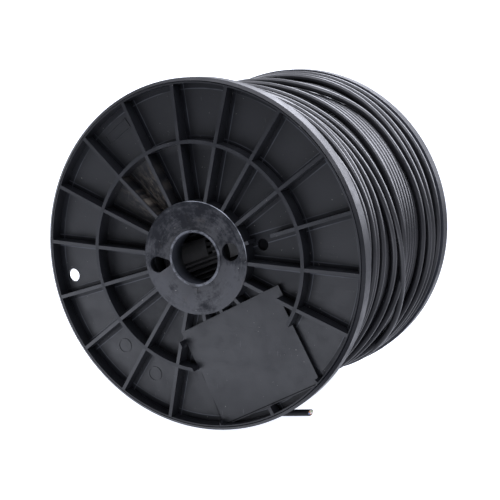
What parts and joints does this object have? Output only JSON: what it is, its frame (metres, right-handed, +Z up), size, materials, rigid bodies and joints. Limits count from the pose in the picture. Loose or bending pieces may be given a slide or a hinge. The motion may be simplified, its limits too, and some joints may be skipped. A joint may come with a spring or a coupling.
{
  "type": "wire spool",
  "caption": "Black plastic cable spool with ribbed round flanges and a through bore, wound with round black sheathed cable whose cut end lies on the floor.",
  "frame": {"origin": "centre of the axle bore, midway between the two flanges", "axes": "+Y along the axle bore, away from the front flange; +Z up, the spool stands on its rims at z = -0.15 m; +X to the right seen from the front"},
  "size_m": [0.3, 0.2318, 0.3],
  "materials": {
    "flange_plastic": "satin, scuffed",
    "cable_sheath": "gloss",
    "rip_cord": "matte",
    "copper": "bright drawn",
    "white_insulation": "satin",
    "orange_insulation": "satin",
    "blue_insulation": "satin",
    "green_insulation": "satin",
    "brown_insulation": "satin"
  },
  "bodies": {
    "root": {"front_flange": "flange_plastic", "rear_flange": "flange_plastic", "barrel": "flange_plastic", "wound_cable": "cable_sheath", "tail_sheath": "cable_sheath", "rip_cord": "rip_cord", "orange_wire": "orange_insulation", "orange_wire_core": "copper", "white_orange_wire": "white_insulation", "white_orange_wire_core": "copper", "blue_wire": "blue_insulation", "blue_wire_core": "copper", "white_blue_wire": "white_insulation", "white_blue_wire_core": "copper", "green_wire": "green_insulation", "green_wire_core": "copper", "white_green_wire": "white_insulation", "white_green_wire_core": "copper", "brown_wire": "brown_insulation", "brown_wire_core": "copper", "white_brown_wire": "white_insulation", "white_brown_wire_core": "copper"}
  },
  "joints": []
}
